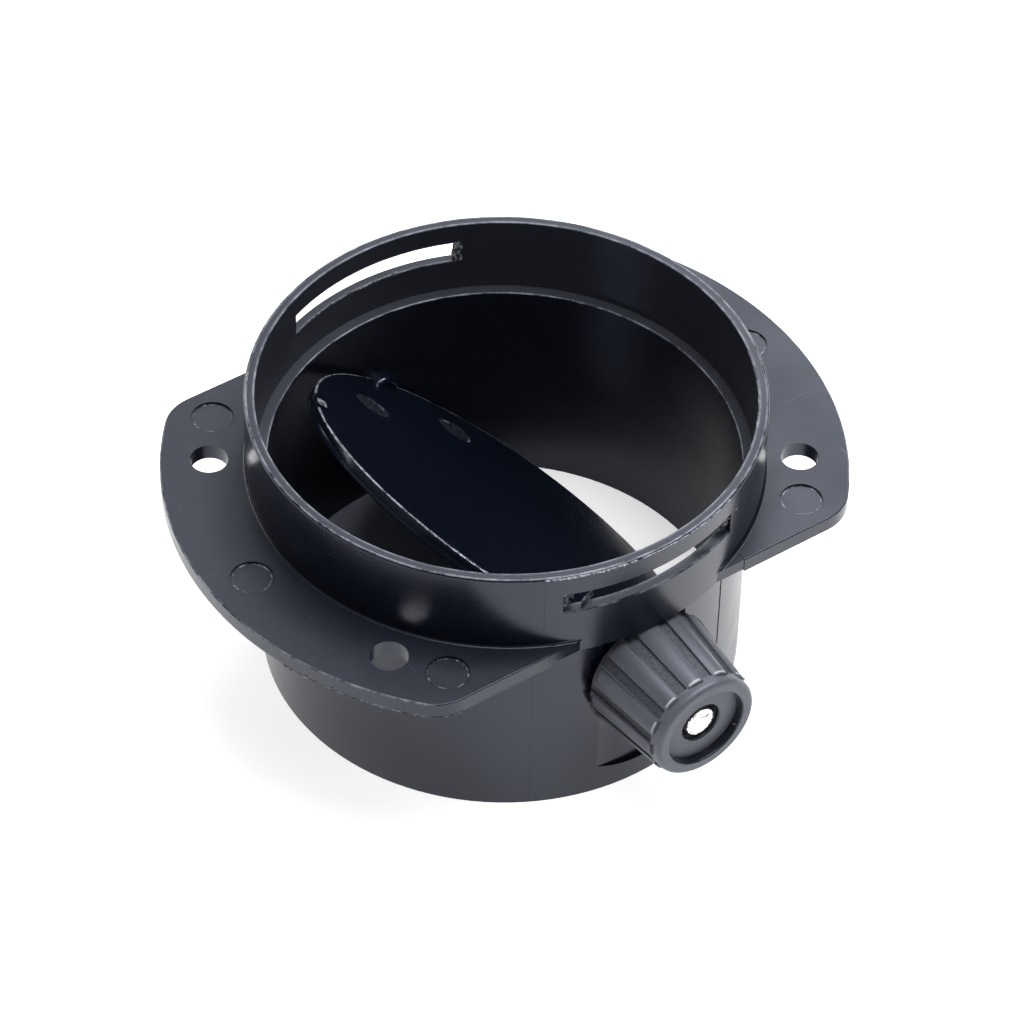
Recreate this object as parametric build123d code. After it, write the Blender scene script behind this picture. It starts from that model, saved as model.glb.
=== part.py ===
from build123d import *
import os

# Duct connector with a butterfly valve, for 90 mm warm air ducting.
# Lengths in millimetres, angles in degrees. The duct axis is Z and the body stands on its
# spigot at Z = 0. The valve turns about an axis parallel to Y and the knob points to -Y.

# Round sizes and heights of the body
TUBE_R = 44.85
WALL = 2.0
SOCKET_ROOM = 0.65
BORE_DRAFT = 0.5
SPIGOT_LONG = 41.1
COLLAR_LONG = 16.7
SHELF_RISE = 0.8
FOOT_STEP = 0.7

# Edge roundings of the body
RIM_OUT_ROUND = 0.5
RIM_IN_ROUND = 0.25
SHELF_EDGE_ROUND = 0.3
COLLAR_ROOT_ROUND = 0.5

# Mounting flange, a disc with two straight sides and four screw holes
FLANGE_T = 3.2
EAR_REACH = 15.5
FLANGE_LEDGE = 0.3
FLANGE_CORNER_R = 9.0
FLANGE_EDGE_ROUND = 0.25
HOLE_R = 3.5
HOLE_OUT = 6.476
HOLE_ANGLE = 33.131

# Ejector pin marks on the flange
FLANGE_MARK_R = 3.9
FLANGE_MARK_DEEP = 0.35
MARK_CORNER_OUT = 7.16
MARK_CORNER_ANGLE = 44.78
MARK_MID_OUT = 7.4

# Two arc shaped windows in the collar, front and back
WINDOW_HALF_X = 18.25
WINDOW_H = 4.5
WINDOW_DOWN = 4.4
SILL_BEVEL = 0.25

# Stretch of flange that the side slides of the mould form, a little wider than the windows
SLIDE_MARGIN = 2.85
SLIDE_EDGE_IN = 0.1
SLIDE_TOP_DROP = 0.08

# Bearings in the wall and the round facing behind the knob
JOURNAL_R = 3.0
STUB_R = 2.5
RUN_FIT = 0.05
FACING_R = 24.5
FACING_DEEP = 0.95
BOSS_WALL = 2.5
BOSS_IN = 1.15

# Valve flap
OPEN_ANGLE = 41.6
FLAP_T = 2.6
FLAP_GAP = 0.27
FLAP_SHIFT = 1.5
FLAP_EDGE_ROUND = 0.3
RIM_GROOVE_W = 0.8
RIM_GROOVE_DEEP = 0.4
HUB_STEP = 0.3
HUB_LONG = 1.9
HUB_BACK_IN = 0.15
HUB_ROUND = 0.9
SIDE_GAP = 0.12
FLAP_MARK_R = 3.7
FLAP_MARK_DEEP = 0.22
FLAP_MARK_IN = 9.7
FLAP_MARK_ANGLE = 66.6
GATE_ANGLE = 144.0
GATE_LONG = 7.6
GATE_WIDE = 2.0
GATE_DEEP = 0.35

# Knob
KNOB_LONG = 19.2
KNOB_GAP = 0.4
KNOB_TOP_GAP = 0.45
KNOB_BASE_R = 12.35
KNOB_NECK_R = 10.75
KNOB_BASE_ROUND = 1.2
LOBE_END_ROUND = 0.3
RING_LONG = 2.3
RING_IN = 0.15
RING_STEP_LONG = 0.3
RING_ROUND = 1.0
RING_WALL = 2.55
LOBES = 12
LOBE_PHASE = 23.0
GROOVE_W = 2.2
GROOVE_DEEP_BASE = 0.7
GROOVE_DEEP_FRONT = 0.55
RECESS_DEEP = 1.6
RECESS_ROUND = 0.35
SKIRT_T = 1.9
FACE_T = 3.2
KNOB_HUB_WALL = 2.6
HOLLOW_ROUND = 0.5

# Double flat joint of spindle and knob
SPINDLE_FLAT_IN = 0.65
KNOB_FIT = 0.04
KNOB_WEB = 2.1
SOCKET_SPARE = 0.3

# Steel drive rivet in a pocket of the knob
RIVET_HEAD_R = 2.75
RIVET_HEAD_H = 1.5
RIVET_DOME = 0.45
RIVET_SHANK_R = 1.4
RIVET_SHANK_LONG = 5.5
RIVET_FIT = 0.02
POCKET_ROOM = 1.15
POCKET_DEEP = 3.0
POCKET_ROUND = 0.5

# How far a cutter runs past the surface it cuts
PAST = 1.0

# Places that follow from the sizes above
COLLAR_IN_R = TUBE_R + SOCKET_ROOM
COLLAR_R = COLLAR_IN_R + WALL
BORE_R = TUBE_R - WALL
BORE_TOP_R = BORE_R + BORE_DRAFT
FLANGE_TOP_Z = SPIGOT_LONG + FLANGE_T
COLLAR_FOOT_Z = SPIGOT_LONG + FOOT_STEP
SHELF_Z = FLANGE_TOP_Z + SHELF_RISE
BODY_H = FLANGE_TOP_Z + COLLAR_LONG
WINDOW_Z = BODY_H - WINDOW_DOWN - WINDOW_H
FLANGE_R = COLLAR_R + EAR_REACH
FLANGE_HALF_W = TUBE_R + FLANGE_LEDGE
SLIDE_HALF_X = WINDOW_HALF_X + SLIDE_MARGIN
AXIS_Z = COLLAR_FOOT_Z - KNOB_TOP_GAP - KNOB_BASE_R
BORE_AXIS_R = BORE_R + BORE_DRAFT * AXIS_Z / SHELF_Z
FLAP_R = BORE_AXIS_R - FLAP_GAP - FLAP_SHIFT
FACING_Y = TUBE_R - FACING_DEEP
BOSS_R = JOURNAL_R + BOSS_WALL
BOSS_Y = BORE_AXIS_R - BOSS_IN
HUB_R = JOURNAL_R + HUB_STEP
HUB_FRONT_Y = BOSS_Y - SIDE_GAP
HUB_BACK_Y = FLAP_R - HUB_BACK_IN
KNOB_Y = FACING_Y + KNOB_GAP
RING_R = KNOB_NECK_R - RING_IN
RECESS_R = RING_R - RING_WALL
GROOVE_END = KNOB_LONG - RING_LONG
RECESS_FLOOR = KNOB_LONG - RECESS_DEEP
POCKET_R = RIVET_HEAD_R + POCKET_ROOM
POCKET_FLOOR = RECESS_FLOOR - POCKET_DEEP
SOCKET_DEEP = POCKET_FLOOR - KNOB_WEB
SPINDLE_LONG = KNOB_Y + SOCKET_DEEP - SOCKET_SPARE - HUB_FRONT_Y
SPINDLE_HALF_FLAT = JOURNAL_R - SPINDLE_FLAT_IN
HOLLOW_DEEP = RECESS_FLOOR - FACE_T


def turned(corners):
    """Solid of revolution about Z from (radius, height, rounding) corners."""
    face = Polygon(*[(r, z) for r, z, _ in corners], align=None)
    for r, z, rounding in corners:
        if rounding > 0:
            corner = face.vertices().sort_by_distance(Vector(r, z, 0))[0]
            face = fillet(corner, rounding)
    return revolve(Plane.XZ * face, axis=Axis.Z)


def bar(radius, length):
    """Round bar that starts at the origin and runs along +Z."""
    return Cylinder(radius, length, align=(Align.CENTER, Align.CENTER, Align.MIN))


def to_front(piece, y):
    """Turn a piece built along +Z to point to -Y on the valve axis, starting at -y."""
    return Pos(0, -y, AXIS_Z) * Rot(90, 0, 0) * piece


def to_back(piece, y):
    """Turn a piece built along +Z to point to +Y on the valve axis, starting at y."""
    return Pos(0, y, AXIS_Z) * Rot(-90, 0, 0) * piece


def four_fold(radius, angle):
    """Four places mirrored about both axes, from one place in polar form."""
    first = Vector(radius, 0).rotate(Axis.Z, angle)
    return [Pos(sx * first.X, sy * first.Y) for sx in (1, -1) for sy in (1, -1)]


def tube_and_collar():
    """Spigot, inner shelf and collar as one turned shell."""
    return turned([
        (BORE_R, 0, 0),
        (TUBE_R, 0, 0),
        (TUBE_R, COLLAR_FOOT_Z, 0),
        (COLLAR_R, COLLAR_FOOT_Z, 0),
        (COLLAR_R, BODY_H, RIM_OUT_ROUND),
        (COLLAR_IN_R, BODY_H, RIM_IN_ROUND),
        (COLLAR_IN_R, SHELF_Z, 0),
        (BORE_TOP_R, SHELF_Z, SHELF_EDGE_ROUND),
    ])


def air_passage():
    """The free space inside the spigot, past both ends of the body."""
    return turned([
        (0, -PAST, 0),
        (BORE_R, -PAST, 0),
        (BORE_R, 0, 0),
        (BORE_TOP_R, SHELF_Z, 0),
        (BORE_TOP_R, BODY_H + PAST, 0),
        (0, BODY_H + PAST, 0),
    ])


def flange_outline():
    """Disc cut by two straight lines, with rounded corners."""
    outline = Circle(FLANGE_R) & Rectangle(2 * FLANGE_R, 2 * FLANGE_HALF_W)
    return fillet(outline.vertices(), FLANGE_CORNER_R)


def slide_box(y_from, y_to, z_from, z_to):
    """Box over the width of a mould slide."""
    box = Box(2 * SLIDE_HALF_X, abs(y_to - y_from), z_to - z_from)
    return Pos(0, (y_from + y_to) / 2, (z_from + z_to) / 2) * box


def slide_cut(side):
    """What a mould slide takes off the flange's edge, underside and top."""
    inner = side * TUBE_R / 2
    outer = side * FLANGE_R
    edge = side * (FLANGE_HALF_W - SLIDE_EDGE_IN)
    cut = slide_box(edge, outer, SPIGOT_LONG - PAST, BODY_H)
    cut += slide_box(inner, outer, SPIGOT_LONG - PAST, COLLAR_FOOT_Z)
    cut += slide_box(inner, outer, FLANGE_TOP_Z - SLIDE_TOP_DROP, BODY_H)
    return cut


def flange():
    """Plate with screw holes, ejector marks and the stretches formed by the slides."""
    plate = Pos(0, 0, SPIGOT_LONG) * extrude(flange_outline(), FLANGE_T)
    plate = fillet(plate.faces().filter_by(Axis.Z).edges(), FLANGE_EDGE_ROUND)
    top = Pos(0, 0, FLANGE_TOP_Z)
    for place in four_fold(COLLAR_R + HOLE_OUT, HOLE_ANGLE):
        plate -= top * place * Cylinder(HOLE_R, 2 * FLANGE_T + PAST)
    marks = four_fold(COLLAR_R + MARK_CORNER_OUT, MARK_CORNER_ANGLE)
    marks += [Pos(COLLAR_R + MARK_MID_OUT, 0), Pos(-COLLAR_R - MARK_MID_OUT, 0)]
    for place in marks:
        plate -= top * place * Cylinder(FLANGE_MARK_R, 2 * FLANGE_MARK_DEEP)
    for side in (1, -1):
        plate -= slide_cut(side)
    return plate - air_passage()


def collar_root():
    """Small concave rounding between collar and flange top."""
    round_r = COLLAR_ROOT_ROUND
    low = FLANGE_TOP_Z - SLIDE_TOP_DROP
    corner = Polygon((COLLAR_R - round_r, low), (COLLAR_R + round_r, low),
                     (COLLAR_R + round_r, FLANGE_TOP_Z + round_r),
                     (COLLAR_R - round_r, FLANGE_TOP_Z + round_r), align=None)
    corner -= Pos(COLLAR_R + round_r, FLANGE_TOP_Z + round_r) * Circle(round_r)
    ring = revolve(Plane.XZ * corner, axis=Axis.Z)
    return ring & (Pos(0, 0, SPIGOT_LONG) * extrude(flange_outline(), BODY_H - SPIGOT_LONG))


def window_cutter(side):
    """Opening through the collar wall, with a bevel on the outer edge of its sill."""
    reach = COLLAR_R + PAST
    middle = Pos(0, side * reach / 2, WINDOW_Z + WINDOW_H / 2)
    opening = middle * Box(2 * WINDOW_HALF_X, reach, WINDOW_H)
    bevel = turned([
        (COLLAR_R - SILL_BEVEL, WINDOW_Z, 0),
        (COLLAR_R + SILL_BEVEL, WINDOW_Z - 2 * SILL_BEVEL, 0),
        (COLLAR_R + SILL_BEVEL, WINDOW_Z + SILL_BEVEL, 0),
        (COLLAR_R - SILL_BEVEL, WINDOW_Z + SILL_BEVEL, 0),
    ])
    return opening + (bevel & (middle * Box(2 * WINDOW_HALF_X, reach, 2 * WINDOW_H)))


def facing():
    """Shallow round facing in the spigot behind the knob, stopped by the collar foot."""
    disc = to_front(bar(FACING_R, FACING_DEEP + PAST), FACING_Y)
    below_collar = Box(2 * FACING_R, 4 * TUBE_R, 2 * COLLAR_FOOT_Z)
    return disc & below_collar


def housing():
    """Body with collar, flange, spigot and the two bearings of the valve."""
    body = tube_and_collar() + flange() + collar_root()
    body -= facing()
    body += to_front(bar(BOSS_R, FACING_Y - BOSS_Y), BOSS_Y)
    for side in (1, -1):
        body -= window_cutter(side)
    body -= to_front(bar(JOURNAL_R + RUN_FIT, COLLAR_R - BOSS_Y + PAST), BOSS_Y - PAST)
    body -= to_back(bar(STUB_R + RUN_FIT, COLLAR_R - BORE_R + PAST), BORE_R - PAST)
    return body


def flap_plate():
    """Disc with a groove round its rim and ejector marks, centred beside the valve axis."""
    half = FLAP_T / 2
    groove = RIM_GROOVE_W / 2
    plate = turned([
        (0, -half, 0),
        (FLAP_R, -half, FLAP_EDGE_ROUND),
        (FLAP_R, -groove, 0),
        (FLAP_R - RIM_GROOVE_DEEP, -groove, 0),
        (FLAP_R - RIM_GROOVE_DEEP, groove, 0),
        (FLAP_R, groove, 0),
        (FLAP_R, half, FLAP_EDGE_ROUND),
        (0, half, 0),
    ])
    top = Pos(0, 0, half)
    for place in four_fold(FLAP_R - FLAP_MARK_IN, FLAP_MARK_ANGLE):
        plate -= top * place * Cylinder(FLAP_MARK_R, 2 * FLAP_MARK_DEEP)
    gate = Pos(FLAP_R - (GATE_WIDE - PAST) / 2, 0) * Box(GATE_WIDE + PAST, GATE_LONG, 2 * GATE_DEEP)
    plate -= top * Rot(0, 0, GATE_ANGLE) * gate
    return Pos(-FLAP_SHIFT, 0, 0) * plate


def hub():
    """Round hub along +Z that ends at the origin, with its inner end softened."""
    body = Pos(0, 0, -HUB_LONG) * bar(HUB_R, HUB_LONG)
    return fillet(body.faces().sort_by(Axis.Z)[0].edges(), HUB_ROUND)


def spindle():
    """Journal with a double flat end and a blind hole for the rivet."""
    body = bar(JOURNAL_R, SPINDLE_LONG)
    flats_from = KNOB_Y - HUB_FRONT_Y
    for side in (1, -1):
        slab = Box(SPINDLE_FLAT_IN * 2, 2 * JOURNAL_R, 2 * (SPINDLE_LONG - flats_from))
        body -= Pos(side * JOURNAL_R, 0, SPINDLE_LONG) * slab
    hole_deep = RIVET_SHANK_LONG - KNOB_WEB
    return body - Pos(0, 0, SPINDLE_LONG) * Cylinder(RIVET_SHANK_R + RIVET_FIT, 2 * hole_deep)


def flap():
    """Disc, hubs and journals in one piece, swung to the half open place."""
    ends = to_front(hub() + spindle(), HUB_FRONT_Y)
    ends += to_back(hub() + bar(STUB_R, TUBE_R - SIDE_GAP - HUB_BACK_Y), HUB_BACK_Y)
    piece = flap_plate() + Pos(0, 0, -AXIS_Z) * ends
    return Pos(0, 0, AXIS_Z) * Rot(0, OPEN_ANGLE, 0) * piece


def groove_cutter(index):
    """One straight finger groove, deeper at the knob's base."""
    outside = 2 * KNOB_BASE_R
    face = Polygon((KNOB_BASE_R - GROOVE_DEEP_BASE, 0), (KNOB_NECK_R - GROOVE_DEEP_FRONT, GROOVE_END),
                   (outside, GROOVE_END), (outside, 0), align=None)
    cutter = extrude(Plane.XZ * face, GROOVE_W / 2, both=True)
    return Rot(0, 0, LOBE_PHASE + index * 360 / LOBES) * cutter


def knob_blank():
    """Tapered grip, smooth front ring, recessed face and rivet pocket."""
    return turned([
        (0, 0, 0),
        (KNOB_BASE_R, 0, KNOB_BASE_ROUND),
        (KNOB_NECK_R, GROOVE_END, LOBE_END_ROUND),
        (RING_R, GROOVE_END + RING_STEP_LONG, 0),
        (RING_R, KNOB_LONG, RING_ROUND),
        (RECESS_R, KNOB_LONG, RECESS_ROUND),
        (RECESS_R, RECESS_FLOOR, 0),
        (POCKET_R, RECESS_FLOOR, POCKET_ROUND),
        (POCKET_R, POCKET_FLOOR, 0),
        (0, POCKET_FLOOR, 0),
    ])


def knob_hollow():
    """Ring shaped space between skirt and centre hub, open to the back."""
    hub_r = JOURNAL_R + KNOB_HUB_WALL
    skirt_base = KNOB_BASE_R - SKIRT_T
    skirt_end = skirt_base - (KNOB_BASE_R - KNOB_NECK_R) * HOLLOW_DEEP / GROOVE_END
    return turned([
        (hub_r, -PAST, 0),
        (skirt_base, -PAST, 0),
        (skirt_base, 0, 0),
        (skirt_end, HOLLOW_DEEP, HOLLOW_ROUND),
        (hub_r, HOLLOW_DEEP, HOLLOW_ROUND),
    ])


def spindle_socket():
    """Double flat hole for the spindle end and a through hole for the rivet."""
    half_flat = SPINDLE_HALF_FLAT + KNOB_FIT
    hole = bar(JOURNAL_R + KNOB_FIT, SOCKET_DEEP) & Box(2 * half_flat, 4 * JOURNAL_R, 2 * KNOB_LONG)
    return hole + bar(RIVET_SHANK_R + RIVET_FIT, KNOB_LONG)


def knob():
    """Fluted knob on the spindle."""
    piece = knob_blank() - knob_hollow()
    for index in range(LOBES):
        piece -= groove_cutter(index)
    return to_front(piece - Rot(0, 0, -OPEN_ANGLE) * spindle_socket(), KNOB_Y)


def rivet():
    """Domed steel rivet in the knob's pocket."""
    piece = turned([
        (0, -RIVET_SHANK_LONG, 0),
        (RIVET_SHANK_R, -RIVET_SHANK_LONG, 0),
        (RIVET_SHANK_R, 0, 0),
        (RIVET_HEAD_R, 0, 0),
        (RIVET_HEAD_R, RIVET_HEAD_H, RIVET_DOME),
        (0, RIVET_HEAD_H, 0),
    ])
    return to_front(piece, KNOB_Y + POCKET_FLOOR)


os.makedirs("parts", exist_ok=True)
export_step(housing(), "parts/housing.step")
export_step(flap(), "parts/flap.step")
export_step(knob(), "parts/knob.step")
export_step(rivet(), "parts/rivet.step")
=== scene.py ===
# %% [markdown]
# # A duct connector with a butterfly valve
# The object is a black moulded body with a mounting flange, a round flap inside it, a fluted
# knob that turns the flap, and a bright steel rivet that holds the knob. The exact solids come
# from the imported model. This lesson gives them their surfaces, adds the small marks that
# moulding leaves, and sets up the light and the camera.

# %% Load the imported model
from math import cos, radians, sin

import bpy
from mathutils import Matrix, Vector


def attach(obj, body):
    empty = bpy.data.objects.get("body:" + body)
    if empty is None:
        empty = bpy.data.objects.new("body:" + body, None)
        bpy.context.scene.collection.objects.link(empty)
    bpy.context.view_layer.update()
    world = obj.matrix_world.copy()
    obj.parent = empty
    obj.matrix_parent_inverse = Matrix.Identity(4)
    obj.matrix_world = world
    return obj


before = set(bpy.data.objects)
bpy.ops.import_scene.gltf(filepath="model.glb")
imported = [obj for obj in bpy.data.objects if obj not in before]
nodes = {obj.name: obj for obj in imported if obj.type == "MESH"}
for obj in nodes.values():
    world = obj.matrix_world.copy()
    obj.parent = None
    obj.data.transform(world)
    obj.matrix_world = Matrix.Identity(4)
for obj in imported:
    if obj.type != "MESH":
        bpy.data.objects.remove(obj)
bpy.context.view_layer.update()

# %% [markdown]
# ## The camera
# The photograph was taken with a long lens from the front left, about 45 degrees above the
# table. Its place and turn were worked out from the circles and holes of the object, so they
# are given here as a point and three directions. A look-at constraint would be shorter, but it
# could not hold the small roll of the real camera.

# %% Camera
CAMERA_PLACE = Vector((-0.388794, -0.538313, 0.701121))
CAMERA_RIGHT = Vector((0.82155789, -0.5697263, 0.0213207))
CAMERA_UP = Vector((0.3927792, 0.59271003, 0.70314957))
CAMERA_BACK = Vector((-0.4132398, -0.56930376, 0.71072224))
LENS_MM = 179.71
SENSOR_MM = 36.0


def look_matrix(place, right, up, back):
    """Camera matrix from its place and its three directions."""
    turn = Matrix((right, up, back)).transposed().to_4x4()
    return Matrix.Translation(place) @ turn


lens = bpy.data.cameras.new("camera")
lens.lens = LENS_MM
lens.sensor_width = SENSOR_MM
lens.clip_start = 0.01
lens.clip_end = 20.0
camera = bpy.data.objects.new("camera", lens)
bpy.context.scene.collection.objects.link(camera)
camera.matrix_world = look_matrix(CAMERA_PLACE, CAMERA_RIGHT, CAMERA_UP, CAMERA_BACK)
bpy.context.scene.camera = camera
bpy.context.scene.view_settings.view_transform = "Standard"
print("camera at", tuple(round(v, 3) for v in CAMERA_PLACE), "lens", lens.lens)

# %% [markdown]
# ## Small helpers for materials
# Node trees are long to write by hand, so a few helpers add a node, do one sum, map a range,
# mix two colours or join two masks. Two more split a place into X, Y and Z and measure a
# distance. They keep each material short enough to read. A helper that only one step needs is
# written in that step.

# %% Node helpers


def add_node(tree, kind, **sockets):
    """A node with some of its input sockets set."""
    node = tree.nodes.new(kind)
    for name, value in sockets.items():
        node.inputs[name.replace("_", " ")].default_value = value
    return node


def maths(tree, operation, first, second=None):
    """A maths node, fed by sockets or plain numbers, as one output socket."""
    node = tree.nodes.new("ShaderNodeMath")
    node.operation = operation
    for slot, value in enumerate((first, second)):
        if isinstance(value, (int, float)):
            node.inputs[slot].default_value = value
        elif value is not None:
            tree.links.new(value, node.inputs[slot])
    return node.outputs[0]


def ramp(tree, value, low, high, to_low=0.0, to_high=1.0):
    """Map a socket from one range to another, clamped."""
    node = add_node(tree, "ShaderNodeMapRange",
                    From_Min=low, From_Max=high, To_Min=to_low, To_Max=to_high)
    tree.links.new(value, node.inputs["Value"])
    return node.outputs["Result"]


def blend_colours(tree, factor, first, second):
    """Mix two colours by a mask."""
    node = tree.nodes.new("ShaderNodeMix")
    node.data_type = "RGBA"
    tree.links.new(factor, node.inputs[0])
    for slot, value in ((6, first), (7, second)):
        if isinstance(value, tuple):
            node.inputs[slot].default_value = (*value, 1.0)
        else:
            tree.links.new(value, node.inputs[slot])
    return node.outputs[2]


def overlap(tree, first, second):
    """Where two masks are both on."""
    return maths(tree, "MULTIPLY", first, second)


def either(tree, first, second):
    """Where at least one of two masks is on."""
    return maths(tree, "MAXIMUM", first, second)


# %% Places and distances


def split_xyz(tree, vector):
    """The X, Y and Z of a vector socket."""
    node = tree.nodes.new("ShaderNodeSeparateXYZ")
    tree.links.new(vector, node.inputs["Vector"])
    return node.outputs


def distance(tree, first, second):
    """Distance to a point that is so far away in two directions at right angles."""
    return maths(tree, "SQRT", maths(tree, "ADD", maths(tree, "MULTIPLY", first, first),
                                     maths(tree, "MULTIPLY", second, second)))


# %% [markdown]
# ## The paper floor
# The duct stands on white paper, plain white outside the duct. Inside, where it is seen past the
# flap, its left half lies in the flap's full shade and the rest is bright. Both are painted into
# the paper: the shade as a blue-grey colour, the bright part as an added glow for the camera.
# Lamps strong enough for such a white would turn the black plastic grey. So the paper glows a
# little by itself, for the camera and for reflections only, and its colour and glow follow the
# place.

# %% Floor plane
FLOOR_SIZE = 6.0

bpy.ops.object.select_all(action="DESELECT")
bpy.ops.mesh.primitive_plane_add(size=FLOOR_SIZE)
floor = bpy.context.object
floor.name = "floor"
print("floor", floor.dimensions[:])

# %% Colour of the paper
INSIDE_R = 0.0445
WALL_BLUR = 0.001
SHADE_TO_X, LIT_FROM_X = 0.008, 0.026
PAPER_LIT = (0.95, 0.95, 0.95)
# Painted shadow: this blue-grey goes on the paper inside the duct, on its left, where the flap's
# shade falls.
PAPER_PAINTED_SHADE = (0.42, 0.46, 0.56)
PAPER_AS_LIGHT = (0.6, 0.6, 0.6)

paper = bpy.data.materials.new("floor_paper")
paper.use_nodes = True
tree = paper.node_tree
tree.nodes.clear()
paper_out = tree.nodes.new("ShaderNodeOutputMaterial")
paper_shader = tree.nodes.new("ShaderNodeBsdfDiffuse")
ray = tree.nodes.new("ShaderNodeLightPath").outputs
shown = either(tree, ray["Is Camera Ray"], ray["Is Glossy Ray"])
spot = split_xyz(tree, tree.nodes.new("ShaderNodeTexCoord").outputs["Object"])
past_wall = ramp(tree, distance(tree, spot["X"], spot["Y"]), INSIDE_R - WALL_BLUR, INSIDE_R)
lit_side = ramp(tree, spot["X"], SHADE_TO_X, LIT_FROM_X)
bright = either(tree, past_wall, lit_side)
paper_seen = blend_colours(tree, bright, PAPER_PAINTED_SHADE, PAPER_LIT)
tree.links.new(blend_colours(tree, shown, PAPER_AS_LIGHT, paper_seen), paper_shader.inputs["Color"])
print("paper shaded inside a radius of", INSIDE_R)

# %% Glow of the paper
GLOW_INSIDE = 0.36
GLOW_LEFT, GLOW_RIGHT = 0.74, 0.95
GLOW_LEFT_X, GLOW_RIGHT_X = -0.06, 0.03

# Painted light: inside the duct, the paper on the lit side also glows for the camera.
seen_inside = maths(tree, "MULTIPLY", ray["Is Camera Ray"], GLOW_INSIDE)
glow_place = either(tree, past_wall, overlap(tree, lit_side, seen_inside))
glow_share = overlap(tree, shown, glow_place)
glow = tree.nodes.new("ShaderNodeEmission")
glow_level = ramp(tree, spot["X"], GLOW_LEFT_X, GLOW_RIGHT_X, GLOW_LEFT, GLOW_RIGHT)
tree.links.new(maths(tree, "MULTIPLY", glow_share, glow_level), glow.inputs["Strength"])
lit_and_glowing = tree.nodes.new("ShaderNodeAddShader")
tree.links.new(paper_shader.outputs["BSDF"], lit_and_glowing.inputs[0])
tree.links.new(glow.outputs["Emission"], lit_and_glowing.inputs[1])
tree.links.new(lit_and_glowing.outputs["Shader"], paper_out.inputs["Surface"])
floor.data.materials.append(paper)
print("paper with", len(tree.nodes), "nodes")

# %% [markdown]
# ## Sky and lamps
# A black glossy object shows mostly what it reflects, so the room matters more than the lamps.
# An even sky gives the walls their soft grey. It is white for the camera and dimmer as light.
# Five soft rectangular lamps stand in for a studio. A wide one above and a wide one behind
# light the faces, and a small one brightens the far right. The rim strip and the edge lamp only
# draw highlights on edges, so they are kept from lighting anything matt, such as the paper.

# %% Sky
SKY_AS_LIGHT, SKY_SEEN = 0.2, 1.0

world = bpy.data.worlds.new("pale_sky")
bpy.context.scene.world = world
world.use_nodes = True
sky_nodes, sky_links = world.node_tree.nodes, world.node_tree.links
sky = sky_nodes["Background"]
sky.inputs["Color"].default_value = (1.0, 1.0, 1.0, 1.0)
seen = sky_nodes.new("ShaderNodeLightPath")
strength = sky_nodes.new("ShaderNodeMapRange")
strength.inputs["To Min"].default_value = SKY_AS_LIGHT
strength.inputs["To Max"].default_value = SKY_SEEN
sky_links.new(seen.outputs["Is Camera Ray"], strength.inputs["Value"])
sky_links.new(strength.outputs["Result"], sky.inputs["Strength"])
print("sky gives", SKY_AS_LIGHT, "and shows", SKY_SEEN)

# %% Lamps
OBJECT_MIDDLE = Vector((0.0, 0.0, 0.03))
# Name, place, width, height, watts, and whether it lights matt faces.
LAMPS = [
    ("lamp_top", (0.1, -0.1, 1.0), 0.7, 0.7, 8.0, True),
    ("lamp_back", (0.54, 0.74, 0.93), 1.0, 0.8, 2.4, True),
    ("lamp_back_right", (0.29, 0.24, 0.36), 0.2, 0.14, 0.4, True),
    ("lamp_rim_strip", (-0.1, 1.0, 0.3), 1.5, 0.25, 5.0, False),
    ("lamp_edges", (0.43, -0.04, 0.93), 0.2, 0.2, 5.0, False),
]


def soft_lamp(name, place, width, height, watts, lights_matt):
    """Rectangular lamp at a place, turned to the object's middle."""
    data = bpy.data.lights.new(name, "AREA")
    data.shape = "RECTANGLE"
    data.size = width
    data.size_y = height
    data.energy = watts
    lamp = bpy.data.objects.new(name, data)
    bpy.context.scene.collection.objects.link(lamp)
    way = OBJECT_MIDDLE - Vector(place)
    lamp.rotation_mode = "QUATERNION"
    lamp.location = place
    lamp.rotation_quaternion = way.to_track_quat("-Z", "Y")
    lamp.visible_camera = False
    lamp.visible_diffuse = lights_matt


for lamp_row in LAMPS:
    soft_lamp(*lamp_row)

# %% [markdown]
# ## Moulded plastic
# The body, flap and knob are black polypropylene. Its skin is never quite even: it has a very
# fine grain, faint flow lines where it filled the mould, and dust and hairlines from handling.
# These effects are one node group with named inputs, so that each part can have its own
# amount of them. Painted textures would look the same in one view, but they would blur close
# up, while noise in object space stays sharp at any size.

# %% Grain of the skin
NUMBER, VECTOR = "NodeSocketFloat", "NodeSocketVector"


def new_group(name, inputs, outputs):
    """A shader node group with the given inputs and outputs."""
    group = bpy.data.node_groups.new(name, "ShaderNodeTree")
    for label, kind, value in inputs:
        made = group.interface.new_socket(label, in_out="INPUT", socket_type=kind)
        if value is not None:
            made.default_value = value
    for label, kind in outputs:
        group.interface.new_socket(label, in_out="OUTPUT", socket_type=kind)
    start = group.nodes.new("NodeGroupInput")
    end = group.nodes.new("NodeGroupOutput")
    return group, start.outputs, end.inputs


skin_group, skin_in, skin_out = new_group(
    "moulded_skin",
    [("Place", VECTOR, None), ("Grain Size", NUMBER, 1800.0), ("Streaks", NUMBER, 0.3)],
    [("Evenness", NUMBER), ("Height", NUMBER), ("Dust", NUMBER), ("Hairlines", NUMBER)],
)
grain = add_node(skin_group, "ShaderNodeTexNoise", Detail=3.0, Roughness=0.6)
skin_group.links.new(skin_in["Place"], grain.inputs["Vector"])
skin_group.links.new(skin_in["Grain Size"], grain.inputs["Scale"])
skin_group.links.new(grain.outputs["Fac"], skin_out["Height"])
print("group", skin_group.name, "takes", [socket.name for socket in skin_in][:3])

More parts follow.
